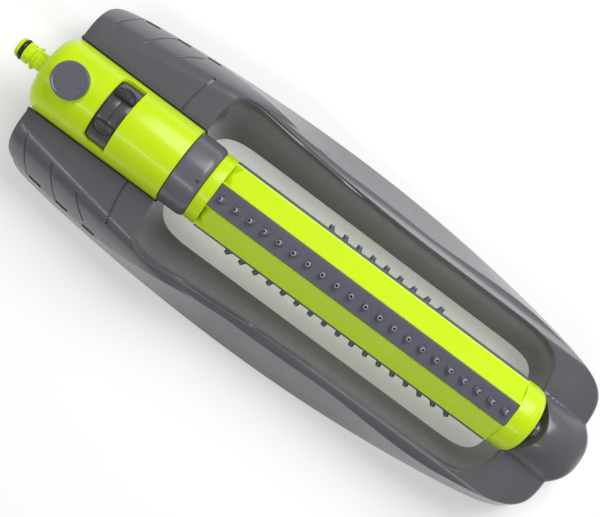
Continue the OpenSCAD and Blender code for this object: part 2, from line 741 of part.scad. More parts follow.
// as many nozzles as fit on the longest row, and four fewer on each of the others
full_row = 1 + floor((strip_len - 14) / nozzle_pitch);
row_counts = [full_row, full_row - 4, full_row - 8, full_row - 12];

module drum_body() {
  color(lime) on_bar() difference() {
    union() {
      // rear flange
      along_x(drum_rear) cylinder(r = seat_r + strip_proud, h = flange_len);
      // eight-sided body
      intersection() {
        translate([-bar_end, -facet_r, -facet_r])
          cube([strip_len + cap_spigot_len, 2 * facet_r, 2 * facet_r]);
        rotate([45, 0, 0]) translate([-bar_end - 1, -facet_r, -facet_r])
          cube([strip_len + cap_spigot_len + 4, 2 * facet_r, 2 * facet_r]);
      }
      rod(drum_rear - drum_spigot_len, drum_rear + 1, drum_spigot_r);
    }
    for (a = [0 : 90 : 270]) rotate([a, 0, 0]) {
      // strip seat, and the water channel under it
      translate([-bar_end, -strip_w / 2 - seat_gap, strip_floor])
        cube([strip_len, strip_w + 2 * seat_gap, 10]);
      translate([-bar_end + 4, -channel_w / 2, channel_low])
        cube([strip_len - 8, channel_w, strip_floor - channel_low + 0.8]);
      translate([0, 0, port_at]) rod(drum_rear - 1, -bar_end + 5, port_r);
      // index pocket
      translate([0, 0, port_at]) rod(drum_rear - 1, drum_rear + 0.6, 3);
    }
    // hollow core, open at the far end
    rod(drum_rear + 6, bar_end + 20, core_r);
    // round spigot for the end cap
    along_x(bar_end) difference() {
      cylinder(r = 2 * seat_r, h = 20);
      translate([0, 0, -1]) cylinder(r = cap_spigot_r, h = 22);
    }
  }
}
// a strip on top of the bar with n nozzles that fan outwards
module nozzle_strip(n) {
  root_h = 1.6;         // how deep a nozzle starts in the strip
  color(grey) difference() {
    union() {
      translate([-bar_end, -strip_w / 2, strip_floor]) cube([strip_len, strip_w, strip_t]);
      for (i = [0 : n - 1]) let (x = (i - (n - 1) / 2) * nozzle_pitch)
        translate([x, 0, seat_r + strip_proud - root_h]) rotate([0, nozzle_lean * x, 0])
          cylinder(r = nozzle_d / 2, h = nozzle_h + root_h);
    }
    for (i = [0 : n - 1]) let (x = (i - (n - 1) / 2) * nozzle_pitch)
      translate([x, 0, seat_r + strip_proud - root_h]) rotate([0, nozzle_lean * x, 0])
        translate([0, 0, -6]) cylinder(r = nozzle_hole_d / 2, h = nozzle_h + 10);
  }
}
module top_nozzle_strip() { on_bar() nozzle_strip(row_counts[0]); }
module right_nozzle_strip() { on_bar() rotate([90, 0, 0]) nozzle_strip(row_counts[1]); }
module under_nozzle_strip() { on_bar() rotate([180, 0, 0]) nozzle_strip(row_counts[2]); }
module left_nozzle_strip() { on_bar() rotate([270, 0, 0]) nozzle_strip(row_counts[3]); }

bush_out_r = tail_pin_r + 2;
cap_step_x = 0.62 * cap_len;
module end_cap() {
  color(lime) on_bar() difference() {
    along_x(bar_end) rotate_extrude() polygon([[0, 0], [cap_r, 0], [cap_r, cap_step_x],
      [cap_r - 0.5, cap_step_x], [cap_r - 0.5, cap_len - 3], [cap_r - 3.4, cap_len], [0, cap_len]]);
    // socket for the drum's end, and the seat of the bush
    rod(bar_end - 1, bar_end + cap_spigot_len, cap_spigot_r);
    rod(bar_end + cap_spigot_len - 1, cap_end + 1, bush_out_r);
  }
}
module tail_bush() {
  color(white) on_bar() tube(bar_end + cap_spigot_len + 0.2, cap_end - 0.4, bush_out_r, tail_pin_r + run_fit);
}
module tail_pin() {
  color(steel) on_axis() rod(bar_end + 9, pin_end, tail_pin_r);
}

module housing_screws() {
  color(steel) translate([shift_x, 0, 0]) for (s = screw_spots)
    translate([s[0], s[1], screw_seat_z]) difference() {
      union() {
        translate([0, 0, -2.2]) cylinder(r = 2.8, h = 2.2);
        translate([0, 0, -1]) cylinder(r = screw_r, h = screw_len + 1);
      }
      // cross recess
      for (a = [0, 90]) rotate([0, 0, a]) translate([0, 0, -2.2]) cube([3, 0.7, 2], center = true);
    }
}

base_frame();
barrel_housing();
inlet_nipple();
inlet_o_ring();
inlet_filter();
valve_body();
flow_knob();
valve_plug();
plug_o_ring();
jet_plate();
reversing_flap();
toggle_spring();
turbine_wheel();
gear_pins();
idler_gear();
reduction_gear();
gear_case();
output_gear();
output_shaft();
shaft_seal();
front_bearing();
rear_range_ring();
front_range_ring();
collar();
collar_gasket();
index_spring();
drum_body();
top_nozzle_strip();
left_nozzle_strip();
right_nozzle_strip();
under_nozzle_strip();
end_cap();
tail_pin();
tail_bush();
housing_screws();
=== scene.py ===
import json
import math
import bmesh
import bpy
import numpy as np
from mathutils import Matrix, Vector


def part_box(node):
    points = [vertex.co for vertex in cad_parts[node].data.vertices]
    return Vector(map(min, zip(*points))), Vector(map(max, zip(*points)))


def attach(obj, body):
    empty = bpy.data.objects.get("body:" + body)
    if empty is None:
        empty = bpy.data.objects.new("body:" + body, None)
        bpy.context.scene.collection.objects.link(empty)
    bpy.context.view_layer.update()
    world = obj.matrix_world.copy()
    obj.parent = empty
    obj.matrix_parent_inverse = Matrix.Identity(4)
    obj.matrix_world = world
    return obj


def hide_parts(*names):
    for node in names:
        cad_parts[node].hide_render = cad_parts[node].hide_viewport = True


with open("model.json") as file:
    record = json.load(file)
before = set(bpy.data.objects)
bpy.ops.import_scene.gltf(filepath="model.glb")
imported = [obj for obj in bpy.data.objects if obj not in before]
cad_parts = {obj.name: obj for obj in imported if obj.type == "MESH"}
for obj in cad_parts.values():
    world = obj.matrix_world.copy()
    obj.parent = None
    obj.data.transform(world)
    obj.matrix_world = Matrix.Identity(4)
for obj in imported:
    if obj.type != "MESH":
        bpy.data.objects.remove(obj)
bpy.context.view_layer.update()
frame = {"nodes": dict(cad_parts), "record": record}

MM = 0.001


# ---- places, taken from the frame ----------------------------------------
def span(node):
    """Lowest and highest corner of a CAD node, in millimetres."""
    low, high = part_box(node)
    return np.array(low) / MM, np.array(high) / MM


base_low, base_high = span("base_frame")
barrel_low, barrel_high = span("barrel_housing")
nipple_low, nipple_high = span("inlet_nipple")
seal_low, seal_high = span("inlet_o_ring")
knob_low, knob_high = span("flow_knob")
collar_low, collar_high = span("collar")
drum_low, drum_high = span("drum_body")
strip_low, strip_high = span("top_nozzle_strip")
cap_low, cap_high = span("end_cap")

NIPPLE_LEN = 25.2
KNOB_TO_WINDOW = 33.1
AXIS_Z = (cap_low[2] + cap_high[2]) / 2
BAR_MID = (strip_low[0] + strip_high[0]) / 2
BAR_HALF = (strip_high[0] - strip_low[0]) / 2
BARREL_R = (barrel_high[1] - barrel_low[1]) / 2
BARREL_FRONT = barrel_high[0]
BARREL_REAR = nipple_low[0] + NIPPLE_LEN
COLLAR_R = (collar_high[1] - collar_low[1]) / 2
CAP_R = (cap_high[1] - cap_low[1]) / 2
KNOB_X = (knob_low[0] + knob_high[0]) / 2
KNOB_R = (knob_high[0] - knob_low[0]) / 2
WINDOW_X = KNOB_X + KNOB_TO_WINDOW
REST_TURN = math.radians(6)      # the bar's turn at rest


# ---- mesh tools ------------------------------------------------------------
def soften(points, radius, steps=4, closed=True):
    """Rounds the corners of an outline. Each corner becomes a quadratic curve from one side to the
    other that starts the radius away from the corner, or 0.45 of the side where that is shorter."""
    points = np.asarray(points, float)
    count = len(points)
    radii = np.full(count, radius) if np.isscalar(radius) else np.asarray(radius, float)
    out = []
    for i in range(count):
        if not closed and i in (0, count - 1):
            out.append(points[i][None])
            continue
        before, here, after = points[i - 1], points[i], points[(i + 1) % count]
        a, b = before - here, after - here
        la, lb = np.linalg.norm(a), np.linalg.norm(b)
        if radii[i] <= 0 or la < 1e-6 or lb < 1e-6:
            out.append(here[None])
            continue
        start = here + a / la * min(radii[i], 0.45 * la)
        end = here + b / lb * min(radii[i], 0.45 * lb)
        t = np.linspace(0, 1, steps + 1)[:, None]
        out.append((1 - t) ** 2 * start + 2 * t * (1 - t) * here + t ** 2 * end)
    return np.vstack(out)


def grid_faces(rows, columns, wrap_rows=False, wrap_columns=False):
    """Quads of a grid of points stored row by row."""
    r = np.arange(rows if wrap_rows else rows - 1)
    c = np.arange(columns if wrap_columns else columns - 1)
    i, j = np.meshgrid(r, c, indexing="ij")
    i2, j2 = (i + 1) % rows, (j + 1) % columns
    quads = [i * columns + j, i2 * columns + j, i2 * columns + j2, i * columns + j2]
    return np.stack(quads, -1).reshape(-1, 4)


def tube_faces(rows, columns):
    """Faces of a tube of closed rows: its sides, and one flat face over each end."""
    sides = [tuple(face) for face in grid_faces(rows, columns, False, True)]
    return sides + [tuple(range(columns)), tuple(range((rows - 1) * columns, rows * columns))]


def raw_mesh(name, points, faces, smooth_deg):
    """A mesh from points in millimetres, with doubles merged, normals outward and edges sharper than
    smooth_deg left hard."""
    mesh = bpy.data.meshes.new(name)
    mesh.from_pydata((np.asarray(points) * MM).tolist(), [], [list(map(int, f)) for f in faces])
    work = bmesh.new()
    work.from_mesh(mesh)
    bmesh.ops.remove_doubles(work, verts=work.verts, dist=1e-7)
    bmesh.ops.dissolve_degenerate(work, edges=work.edges, dist=1e-8)
    bmesh.ops.recalc_face_normals(work, faces=work.faces)
    work.to_mesh(mesh)
    work.free()
    mesh.polygons.foreach_set("use_smooth", np.ones(len(mesh.polygons), bool))
    mesh.set_sharp_from_angle(angle=math.radians(smooth_deg))
    return mesh


def make_piece(name, points, faces, smooth_deg=35):
    """An object of one mesh, standing at the origin."""
    piece = bpy.data.objects.new(name, raw_mesh(name, points, faces, smooth_deg))
    bpy.context.scene.collection.objects.link(piece)
    return piece


def stack(*meshes):
    """Joins (points, faces) pairs into one pair."""
    points, faces, start = [], [], 0
    for p, f in meshes:
        points.append(np.asarray(p))
        faces.extend([tuple(int(v) + start for v in face) for face in f])
        start += len(p)
    return np.vstack(points), faces


def revolve(outline, steps=128):
    """A solid of revolution about the X axis: each outline point (x, r) goes round a circle of radius
    r, at (x, r sin a, r cos a). The outline is closed, or it starts and ends on the axis, where the
    rings shrink to points and the side along the axis has no faces."""
    outline = np.asarray(outline, float)
    n = len(outline)
    a = np.linspace(0, 2 * np.pi, steps, endpoint=False)[:, None]
    x = np.broadcast_to(outline[:, 0], (steps, n))
    points = np.stack([x, outline[:, 1] * np.sin(a), outline[:, 1] * np.cos(a)], -1)
    faces = grid_faces(steps, n, True, True)
    on_line = outline[:, 1] < 1e-6
    keep = ~(on_line & np.roll(on_line, -1))
    return points.reshape(-1, 3), faces[np.tile(keep, steps)]


def prism(outline, x0, x1):
    """A prism along X: the outline (y, z) is carried from x0 to x1."""
    outline = np.asarray(outline, float)
    ends = [np.column_stack([np.full(len(outline), x), outline]) for x in (x0, x1)]
    return np.vstack(ends), tube_faces(2, len(outline))


def angle_sweep(angles, sections, closed=False):
    """A solid round the X axis: a section of (x, r) points stands at each angle a, at (x, r sin a,
    r cos a). One section serves all the angles, or each has its own. Flat faces close the first and
    the last, unless the sweep itself is closed."""
    a = np.asarray(angles)[:, None]
    sections = np.broadcast_to(sections, (len(a), *np.shape(sections)[-2:]))
    x, r = sections[..., 0], sections[..., 1]
    points = np.stack([x, r * np.sin(a), r * np.cos(a)], -1).reshape(-1, 3)
    return points, grid_faces(*x.shape, True, True) if closed else tube_faces(*x.shape)


def turned(points, angle):
    """Points turned about the X axis."""
    c, s = math.cos(angle), math.sin(angle)
    p = np.asarray(points)
    return np.column_stack([p[:, 0], c * p[:, 1] - s * p[:, 2], s * p[:, 1] + c * p[:, 2]])


def moved(points, x=0.0, y=0.0, z=0.0):
    """Points shifted."""
    return np.asarray(points) + np.array([x, y, z])


def on_axis(solid, turn=0.0):
    """A solid made about the X axis, turned about it and lifted to the bar's height."""
    points, faces = solid
    return moved(turned(points, turn), z=AXIS_Z), faces


def upright(solid, x=0.0, y=0.0, z=0.0):
    """A solid made about the X axis, stood up on Z by swapping x and z, and moved into place."""
    points, faces = solid
    return moved(points[:, [2, 1, 0]], x, y, z), faces


def carve(piece, cutters, operation="DIFFERENCE", smooth_deg=35):
    """Cuts closed solids out of a piece and keeps the result as its own mesh."""
    tools = []
    for i, (points, faces) in enumerate(cutters):
        tool = make_piece(f"{piece.name}_cutter{i}", points, faces)
        tools.append(tool)
        cut = piece.modifiers.new(f"cut{i}", "BOOLEAN")
        cut.operation = operation
        cut.solver = "MANIFOLD"
        cut.object = tool
    graph = bpy.context.evaluated_depsgraph_get()
    result = bpy.data.meshes.new_from_object(piece.evaluated_get(graph))
    piece.modifiers.clear()
    piece.data = result
    for tool in tools:
        bpy.data.objects.remove(tool)
    work = bmesh.new()
    work.from_mesh(result)
    bmesh.ops.remove_doubles(work, verts=work.verts, dist=2e-6)
    bmesh.ops.dissolve_degenerate(work, edges=work.edges, dist=2e-6)
    work.to_mesh(result)
    work.free()
    result.polygons.foreach_set("use_smooth", np.ones(len(result.polygons), bool))
    result.set_sharp_from_angle(angle=math.radians(smooth_deg))
    return piece


# ---- materials ---------------------------------------------------------------
def plastic(name, colour, roughness, spread, grain, grain_depth, coat=0.0, shade=0.95, specular=0.5,
            tip_highlight=None):
    """Moulded plastic: a slow drift between the colour and the colour times shade, a gloss mottled by
    spread, and the fine grain that the mould leaves. grain is in features a metre and grain_depth in
    metres. The last argument, when given, is two distances from the bar's axis and a colour: between
    the distances the colour turns to that lighter colour, a painted highlight on the nozzles' tips."""
    material = bpy.data.materials.new(name)
    material.use_nodes = True
    nodes, links = material.node_tree.nodes, material.node_tree.links
    shader = nodes["Principled BSDF"]
    where = nodes.new("ShaderNodeTexCoord")

    def noise(scale, detail):
        texture = nodes.new("ShaderNodeTexNoise")
        texture.inputs["Scale"].default_value = scale
        texture.inputs["Detail"].default_value = detail
        links.new(where.outputs["Object"], texture.inputs["Vector"])
        return texture.outputs["Fac"]

    tones = nodes.new("ShaderNodeValToRGB")
    darker, lighter = tones.color_ramp.elements
    darker.position, lighter.position = 0.3, 0.7
    darker.color = (*[c * shade for c in colour], 1)
    lighter.color = (*colour, 1)
    links.new(noise(26.0, 3.0), tones.inputs["Fac"])
    links.new(tones.outputs["Color"], shader.inputs["Base Color"])
    gloss = nodes.new("ShaderNodeMapRange")
    gloss.inputs["From Min"].default_value = 0.3
    gloss.inputs["From Max"].default_value = 0.7
    gloss.inputs["To Min"].default_value = roughness - spread
    gloss.inputs["To Max"].default_value = roughness + spread
    links.new(noise(60.0, 1.0), gloss.inputs["Value"])
    links.new(gloss.outputs["Result"], shader.inputs["Roughness"])
    relief = nodes.new("ShaderNodeBump")
    relief.inputs["Strength"].default_value = 0.12
    relief.inputs["Distance"].default_value = grain_depth
    links.new(noise(grain, 2.0), relief.inputs["Height"])
    links.new(relief.outputs["Normal"], shader.inputs["Normal"])
    # Painted highlight: from the first distance to the second from the bar's axis the colour turns lighter,
    # standing in for the glint on the nozzles' rims.
    if tip_highlight:
        near, far, highlight_colour = tip_highlight
        across_axis = nodes.new("ShaderNodeVectorMath")
        across_axis.operation = "MULTIPLY_ADD"
        across_axis.inputs[1].default_value = (0, 1, 1)
        across_axis.inputs[2].default_value = (0, 0, -AXIS_Z * MM)
        links.new(where.outputs["Object"], across_axis.inputs[0])
        radius = nodes.new("ShaderNodeVectorMath")
        radius.operation = "LENGTH"
        links.new(across_axis.outputs["Vector"], radius.inputs[0])
        outward = nodes.new("ShaderNodeMapRange")
        outward.inputs["From Min"].default_value = near * MM
        outward.inputs["From Max"].default_value = far * MM
        links.new(radius.outputs["Value"], outward.inputs["Value"])
        blend = nodes.new("ShaderNodeMixRGB")
        blend.inputs["Color2"].default_value = (*highlight_colour, 1)
        links.new(outward.outputs["Result"], blend.inputs["Fac"])
        links.new(tones.outputs["Color"], blend.inputs["Color1"])
        links.new(blend.outputs["Color"], shader.inputs["Base Color"])
    shader.inputs["Specular IOR Level"].default_value = specular
    shader.inputs["Coat Weight"].default_value = coat
    shader.inputs["Coat Roughness"].default_value = 0.12
    return material


def metal(name, colour, roughness, spread, grain, grain_depth):
    """Drawn steel: the drift, mottle and grain of the plastics on a metal."""
    material = plastic(name, colour, roughness, spread, grain, grain_depth)
    material.node_tree.nodes["Principled BSDF"].inputs["Metallic"].default_value = 1.0
    return material


FINISH = {
    "lime_shell": plastic("lime_gloss_plastic", (0.60, 0.85, 0.004), 0.30, 0.03, 1500, 0.000012, coat=0.2,
                          shade=0.96, specular=0.3),
    "grey_shell": plastic("grey_satin_plastic", (0.108, 0.108, 0.124), 0.29, 0.03, 900, 0.00001, coat=0.3),
    "grey_trim": plastic("grey_trim_plastic", (0.125, 0.125, 0.15), 0.3, 0.03, 900, 0.00001, coat=0.25),
    # The nozzles carry a painted highlight: their tips, 29.6 to 30.9 from the bar's axis, turn a lighter
    # grey.
    "nozzle_grey": plastic("nozzle_elastomer_painted_highlight", (0.108, 0.108, 0.142), 0.4, 0.05, 2600, 0.00002,
                           tip_highlight=(29.6, 30.9, (0.30, 0.30, 0.35))),
    "dark_gloss": plastic("slider_gloss_plastic", (0.075, 0.075, 0.085), 0.25, 0.05, 1500, 0.00001, coat=0.4),
    "dark_plastic": plastic("dark_inner_plastic", (0.05, 0.05, 0.055), 0.5, 0.08, 1600, 0.00003),
    "white_plastic": plastic("white_acetal", (0.74, 0.74, 0.70), 0.38, 0.06, 1800, 0.00002),
    "black_rubber": plastic("black_rubber", (0.012, 0.012, 0.013), 0.32, 0.08, 2400, 0.00003),
    "steel": metal("drawn_steel", (0.6, 0.6, 0.62), 0.28, 0.08, 3000.0, 0.00001),
}


def dress(piece, slot, body, *nodes):
    """Gives a piece its finish, the body that it rides on and the CAD nodes that it stands for."""
    piece.data.materials.clear()
    piece.data.materials.append(FINISH[slot])
    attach(piece, body)
    if nodes:
        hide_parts(*nodes)
    return piece


for row in frame["record"]["subparts"]:
    node = frame["nodes"][row["node"]]
    for place in node.material_slots:
        place.material = FINISH[row["material_slot"]]


# ---- the sled base -----------------------------------------------------------
# Stations along X and half widths across it. A pole is the middle of a rounded end.
WAIST_X = BAR_MID - 50
NOSE_TIP = base_high[0]
CAP_END = cap_high[0]
BASE_HALF_W = (base_high[1] - base_low[1]) / 2
WALL = 2.6
LOBE_LEN = 11          # how far the nose's middle lobe stands out in front
LOBE_HALF_W = 31
NOSE_X = NOSE_TIP - LOBE_LEN
REAR_X = BARREL_REAR + 3
FRONT_POLE = BAR_MID + BAR_HALF - 37
REAR_POLE = BARREL_FRONT + 48.8
RIM_FRONT = CAP_END - 1.5
RIM_REAR = BARREL_FRONT + 0.3
OPENING_HALF_W = 43.5
RIM_HALF_W = 58.5
GROUND_FRONT = CAP_END
GROUND_REAR = BARREL_FRONT + 1.3
WING_H = AXIS_Z + 4
ARM_H = AXIS_Z - 3
CREASE_H = AXIS_Z - 8
CREASE_BACK_FRONT = 11
CREASE_BACK_REAR = 2.5
RIM_BULGE, RIM_BULGE_HALF_W = 13, 27
WAIST_CURVE_FRONT, WAIST_CURVE_REAR = 1250, 1500
CREST_REAR_W, CREST_FRONT_W = 37, 62
CREST_END_X = BAR_MID - 137
WING_FALL = 28
ARM_ROLL_W = 10
WING_TO_ARM = (BAR_MID - 165, BAR_MID - 60)
VAULT_H, VAULT_HALF_W = 17, 26
VAULT_LEVEL = 12
VAULT_BACK = 10
NOSE_DROP = 4


def ease(a, b, x):
    """0 before a, 1 after b, and a smooth S between them."""
    t = np.clip((x - a) / (b - a), 0, 1)
    return t * t * (3 - 2 * t)


def mix(a, b, t):
    """a at 0, b at 1, and a straight line between them."""
    return a + (b - a) * t


def half_w(x):
    """Half the footprint's width: its widest less a parabola on each side of the waist, of a
    steeper curve in front of it than behind it."""
    bulge = np.where(x > WAIST_X, WAIST_CURVE_FRONT, WAIST_CURVE_REAR)
    return BASE_HALF_W - (x - WAIST_X) ** 2 / (2 * bulge)


def rim_w(x):
    """Half the upper rim's width: straight along the bar, then flaring by 10 towards the head, by
    the power 1.5."""
    bend = BAR_MID + 12
    return RIM_HALF_W + 10 * np.clip((bend - x) / (bend - RIM_REAR), 0, 1) ** 1.5


def crease_inset(x):
    """How far the crease stands in from the footprint: 4.5, and 15 more that an S brings in along
    the wings and a second S takes 0.7 of away towards the nose."""
    x = x - BAR_MID
    return 4.5 + 15 * ease(-190, -60, x) * (1 - 0.7 * ease(0, 120, x))


def bump(y, length, half):
    """A parabola across y: length at the middle, and 0 from half outward."""
    return length * np.maximum(0, 1 - (y / half) ** 2)


def reach(f, a, b, n):
    """Radius of a superellipse of half-axes a and b and squareness n, in direction f."""
    return ((np.abs(np.cos(f)) / a) ** n + (np.abs(np.sin(f)) / b) ** n) ** (-1 / n)


def fan(pole, f, a, b, n):
    """The superellipse's points in the directions f, round a pole on the X axis."""
    r = reach(f, a, b, n)
    return pole + r * np.cos(f), r * np.sin(f)


def base_rails(fan_steps, arm_steps):
    """Four closed rails round the opening, as arrays (station, 2): inner ground edge, upper rim,
    crease and outer ground edge. The ends are superellipses fanned round a pole, the sides are
    straight stations between the two poles. n is each superellipse's squareness."""
    f = np.linspace(-np.pi / 2, np.pi / 2, 2 * fan_steps + 1)
    inset = crease_inset(FRONT_POLE)
    ground = fan(FRONT_POLE, f, GROUND_FRONT - FRONT_POLE, OPENING_HALF_W, n=5.5)
    mx, my = fan(FRONT_POLE, f, RIM_FRONT - FRONT_POLE, rim_w(FRONT_POLE), n=4.5)
    cx, cy = fan(FRONT_POLE, f, NOSE_X - FRONT_POLE - CREASE_BACK_FRONT, half_w(FRONT_POLE) - inset, n=6.6)
    ox, oy = fan(FRONT_POLE, f, NOSE_X - FRONT_POLE, half_w(FRONT_POLE), n=7)
    front = [
        np.column_stack(ground), np.column_stack([mx + bump(my, RIM_BULGE, RIM_BULGE_HALF_W), my]),
        np.column_stack([cx + bump(cy, LOBE_LEN, LOBE_HALF_W),
                         cy * (half_w(cx) - crease_inset(cx)) / (half_w(FRONT_POLE) - inset)]),
        np.column_stack([ox + bump(oy, LOBE_LEN, LOBE_HALF_W), oy * half_w(ox) / half_w(FRONT_POLE)]),
    ]
    f = np.linspace(np.pi / 2, 3 * np.pi / 2, 2 * fan_steps + 1)
    inset = crease_inset(REAR_POLE)
    ground = fan(REAR_POLE, f, REAR_POLE - GROUND_REAR, OPENING_HALF_W, n=4)
    mx, my = fan(REAR_POLE, f, REAR_POLE - RIM_REAR, rim_w(REAR_POLE), n=6)
    cx, cy = fan(REAR_POLE, f, REAR_POLE - REAR_X - CREASE_BACK_REAR, half_w(REAR_POLE) - inset, n=18)
    ox, oy = fan(REAR_POLE, f, REAR_POLE - REAR_X, half_w(REAR_POLE), n=18)
    rear = [
        np.column_stack(ground), np.column_stack([mx, my * rim_w(mx) / rim_w(REAR_POLE)]),
        np.column_stack([cx, cy * (half_w(cx) - crease_inset(cx)) / (half_w(REAR_POLE) - inset)]),
        np.column_stack([ox, oy * half_w(ox) / half_w(REAR_POLE)]),
    ]
    x = np.linspace(FRONT_POLE, REAR_POLE, arm_steps + 1)[1:-1]

    def arm(x, side):
        widths = [np.full(len(x), OPENING_HALF_W), rim_w(x), half_w(x) - crease_inset(x), half_w(x)]
        return [np.column_stack([x, side * w]) for w in widths]

    left, right = arm(x, 1), arm(x[::-1], -1)
    return [np.vstack([front[k], left[k], rear[k], right[k]]) for k in range(4)]


def wing_z(x, y):
    """Top of the head's wings: level to a crest line that runs outward along X, then falling to the
    outer wall by the power 2.2."""
    crest = mix(CREST_REAR_W, CREST_FRONT_W, np.clip((x - REAR_X) / (CREST_END_X - REAR_X), 0, 1))
    edge = half_w(x) - 4
    s = np.clip((np.abs(y) - crest) / (edge - crest), 0, 1)
    return WING_H - WING_FALL * s ** 2.2


def arm_z(y):
    """Top of the arms: level to the rim, then falling to the crease by the power 1.5."""
    s = np.clip((np.abs(y) - RIM_HALF_W) / ARM_ROLL_W, 0, 1)
    return ARM_H - (ARM_H - CREASE_H) * s ** 1.5


def vault_z(x, y):
    """The nose vault over the tail bearing: a parabola across y that rises in an S behind it, is
    level past the cap, and rounds down as a quarter of an ellipse in front."""
    run = np.clip((x - CAP_END - VAULT_LEVEL) / (NOSE_TIP - VAULT_BACK - CAP_END - VAULT_LEVEL), 0, 1)
    start = ease(BAR_MID + BAR_HALF - 10, CAP_END + 4, x)
    return bump(y, VAULT_H, VAULT_HALF_W) * np.sqrt(1 - run ** 2) * start


def top_z(x, y):
    """Height of the sled's top: the wings blend into the arms along X, the nose vault stands on
    them, and the whole sinks a little at the nose."""
    body = mix(wing_z(x, y), arm_z(y), ease(*WING_TO_ARM, x))
    return body + vault_z(x, y) - NOSE_DROP * ease(CAP_END + 15, NOSE_X, x)


def base_shell():
    """The sled as a closed shell: at every station a section climbs the inner wall, rolls over the
    rim, crosses the top to the crease and falls to the ground, and a second skin follows it one wall
    inside. Heights on top come from top_z."""
    ground, rim, crease, outer = base_rails(120, 60)
    rows = []
    zm = top_z(rim[:, 0], rim[:, 1])
    zc = top_z(crease[:, 0], crease[:, 1])
    for t in np.linspace(0, 0.94, 9):
        p = mix(ground, rim, t * 0.985)
        rows.append(np.column_stack([p, zm * t]))
    # the rim's round: close to a quarter of an ellipse
    round_w, round_h = 1.6, 2.0
    across = rim - ground
    across /= np.linalg.norm(across, axis=1, keepdims=True)
    into = crease - rim
    into /= np.linalg.norm(into, axis=1, keepdims=True)
    for a in np.linspace(0.1, 0.9, 4) * np.pi / 2:
        p = rim + into * round_w * (1 - np.cos(a)) - across * 0.1
        rows.append(np.column_stack([p, zm - round_h * (1 - np.sin(a)) ** 1.5]))
    for t in np.linspace(0.1, 0.97, 22):
        p = mix(rim, crease, t)
        rows.append(np.column_stack([p, top_z(p[:, 0], p[:, 1])]))
    out = outer - crease
    for t in (0.02, 0.06, 0.12):
        p = crease + out * t
        rows.append(np.column_stack([p, zc * (1 - t) - 0.15]))
    for t in np.linspace(0.2, 1, 9):
        p = crease + out * t
        rows.append(np.column_stack([p, zc * (1 - t)]))
    skin = np.stack(rows, 1)
    way = skin[:, -1, :2] - skin[:, 0, :2]
    way /= np.linalg.norm(way, axis=1, keepdims=True)
    # the section's slope at each point, from its neighbours
    step = np.empty_like(skin)
    step[:, 1:-1] = skin[:, 2:] - skin[:, :-2]
    step[:, 0], step[:, -1] = skin[:, 1] - skin[:, 0], skin[:, -1] - skin[:, -2]
    run = (step[..., :2] * way[:, None]).sum(-1)
    rise = step[..., 2]
    length = np.hypot(run, rise)
    lining = skin.copy()
    lining[..., :2] += WALL * (rise / length)[..., None] * way[:, None]
    lining[..., 2] -= WALL * run / length
    for k, sign in ((0, 1), (-1, -1)):
        lining[:, k, :2] = skin[:, k, :2] + sign * WALL * (length[:, k] / np.abs(rise[:, k]))[:, None] * way
        lining[:, k, 2] = 0
    lining[:, 1:-1, 2] = np.maximum(lining[:, 1:-1, 2], 0.6)
    loop = np.concatenate([skin, lining[:, ::-1][:, ::2]], 1)
    count, around = loop.shape[:2]
    return loop.reshape(-1, 3), grid_faces(count, around, True, True)


def strip_cut(path, width, depth, above=2.5):
    """A groove's cutter: a box section carried along a path on the top surface, from depth under it
    to a little above it, and the section is 0.6 as wide at its foot."""
    path = np.asarray(path, float)
    along = np.gradient(path, axis=0)
    along /= np.linalg.norm(along, axis=1, keepdims=True)
    side = np.column_stack([-along[:, 1], along[:, 0]])
    z = top_z(path[:, 0], path[:, 1])
    half = width / 2
    corners = ((-half * 0.6, -depth), (half * 0.6, -depth), (half, above), (-half, above))
    rings = np.stack([np.column_stack([path + side * w, z + h]) for w, h in corners], 1)
    return rings.reshape(-1, 3), tube_faces(len(path), len(corners))


def wing_grooves():
    """Three curved grooves on each wing that sweep forward as they run out, by the power 1.5, each
    with a short slot beside its outer end, and one line across the wing that bends as a parabola."""
    groove_x, groove_y, groove_end_y, groove_pitch, groove_shift, sweep = -254.4, 44.6, 71.5, 25.2, 6.5, 12.5
    cutters = []
    for side in (-1, 1):
        for i in range(3):
            x0 = BAR_MID + groove_x + groove_pitch * i
            y0 = groove_y + groove_shift * i
            y = np.linspace(y0, groove_end_y, 14)
            x = x0 + sweep * ((y - y0) / (groove_end_y - y0)) ** 1.5
            cutters.append(strip_cut(np.column_stack([x, side * y]), 1.5, 1.0))
            x = np.linspace(x0 + 13.0, x0 + 24.0, 6)
            y = half_w(x) - 5.4
            cutters.append(strip_cut(np.column_stack([x, side * y]), 2.3, 2.2))
        y = np.linspace(27, 63, 14)
        x = BAR_MID - 181 + 5.5 * ((y - 27) / 36) ** 2
        cutters.append(strip_cut(np.column_stack([x, side * y]), 2.2, 1.5))
    return cutters


BED_R = BARREL_R + 1.3       # leaves a dark seam beside the barrel
bed_ends = (REAR_X - 20, BARREL_FRONT + 20)
bed = revolve([(bed_ends[0], 0), (bed_ends[0], BED_R), (bed_ends[1], BED_R), (bed_ends[1], 0)], 160)
sled = make_piece("sled_shell", *base_shell())
carve(sled, [on_axis(bed), *wing_grooves()], smooth_deg=28)
dress(sled, "grey_shell", "base", "base_frame")


def cradle():
    """The half tube under the barrel, a ring section carried from seam to seam under it."""
    seam = math.asin(1.2 / BARREL_R)
    rear, front = REAR_X + 1.5, BARREL_FRONT - 1
    r_in = BARREL_R + 0.2
    r_out = r_in + WALL
    section = soften([(rear, r_in), (front, r_in), (front, r_out), (rear, r_out)], 0.4, 2)
    return angle_sweep(np.linspace(np.pi / 2 - seam, 3 * np.pi / 2 + seam, 97), section)


dress(make_piece("barrel_cradle", *on_axis(cradle())), "grey_shell", "base")

boss_rear = CAP_END + 7
boss_front = boss_rear + 22
boss = revolve(soften([(boss_rear, 3.05), (boss_rear, 7), (boss_front, 7), (boss_front, 3.05)], 0.5, 3), 64)
dress(make_piece("tail_boss", *on_axis(boss)), "grey_shell", "base")


# ---- the barrel ----------------------------------------------------------------
SHOULDER_R = 11
BORE_R = BARREL_R - 2.4


